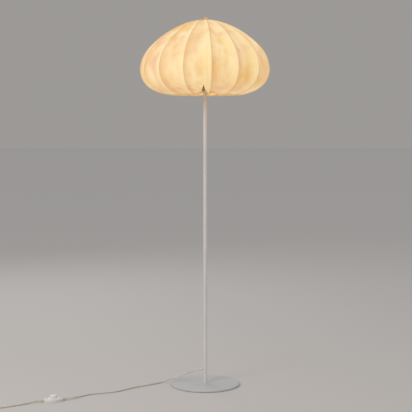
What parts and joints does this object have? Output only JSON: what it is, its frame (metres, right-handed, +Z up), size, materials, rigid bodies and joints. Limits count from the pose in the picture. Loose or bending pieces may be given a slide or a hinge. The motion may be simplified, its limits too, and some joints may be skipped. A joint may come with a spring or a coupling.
{
  "type": "floor lamp",
  "caption": "Mushroom floor lamp: pumpkin-shaped silk shade on curved ribs, thin steel pole, round disc foot, and a mains lead with a press-button foot switch.",
  "frame": {"origin": "on the floor, under the middle of the pole", "axes": "+Z up along the pole, -Y towards the viewer, +X to the viewer's right; the lead runs off towards -X and -Y"},
  "size_m": [1.1457, 0.6736, 1.5005],
  "materials": {
    "white_paint": "satin powder coat",
    "base_paint": "satin powder coat",
    "pad": "matte",
    "zinc_steel": "zinc plated",
    "brown_plastic": "moulded, matte",
    "insert": "unglazed",
    "brass": "plain",
    "lamp_cap": "plain",
    "lamp_body": "smooth",
    "lamp_globe": "opal, lit",
    "frame_wire": "white coat",
    "silk": "thin silk, lit from inside",
    "knot_silk": "gathered silk",
    "thread": "thread",
    "gland": "smooth",
    "switch_white": "moulded",
    "switch_inner": "moulded",
    "spring_steel": "drawn wire",
    "relief_white": "soft, matte",
    "plug_white": "moulded",
    "pin_metal": "nickel plated",
    "lead_white": "soft plastic sheath"
  },
  "bodies": {
    "lamp": {"base_plate": "base_paint", "floor_pad": "pad", "base_screw": "zinc_steel", "base_washer": "zinc_steel", "foot_plug": "zinc_steel", "pole_lower": "white_paint", "pole_middle": "white_paint", "pole_upper": "white_paint", "tube_bushes": "zinc_steel", "joint_nipples": "zinc_steel", "holder_nipple": "zinc_steel", "cord_gland": "gland", "holder_cap": "brown_plastic", "holder_shell": "brown_plastic", "holder_insert": "insert", "screw_shell": "brass", "centre_contact": "brass", "shade_ring_lower": "brown_plastic", "shade_ring_upper": "brown_plastic", "bulb_cap": "lamp_cap", "bulb_body": "lamp_body", "bulb_globe": "lamp_globe", "top_ring": "frame_wire", "bottom_ring": "frame_wire", "shade_spider": "frame_wire", "shade_panels": "silk", "top_knot": "knot_silk", "knot_tie": "thread", "switch_base": "switch_white", "switch_cover": "switch_white", "switch_screws": "zinc_steel", "switch_module": "switch_inner", "switch_spring": "spring_steel", "switch_reliefs": "relief_white", "plug_body": "plug_white", "plug_pins": "pin_metal", "plug_relief": "relief_white", "cord_coil": "lead_white", "inner_lead": "lead_white", "cord_lead": "lead_white", "cord_tail": "lead_white", "cord_end": "lead_white", "shade_rib_01": "frame_wire", "shade_rib_02": "frame_wire", "shade_rib_03": "frame_wire", "shade_rib_04": "frame_wire", "shade_rib_05": "frame_wire", "shade_rib_06": "frame_wire", "shade_rib_07": "frame_wire", "shade_rib_08": "frame_wire", "shade_rib_09": "frame_wire", "shade_rib_10": "frame_wire", "shade_rib_11": "frame_wire", "shade_rib_12": "frame_wire", "shade_rib_13": "frame_wire", "shade_rib_14": "frame_wire", "shade_rib_15": "frame_wire"},
    "button": {"switch_button": "switch_white", "switch_plunger": "switch_inner"}
  },
  "joints": [
    {"name": "button_press", "type": "slide", "parent": "lamp", "child": "button", "axis": [0, 0, -1], "range_m": [0, 0.0035], "stiffness_N_per_m": 400, "springref_m": -0.001, "deforming": ["switch_spring"]}
  ]
}
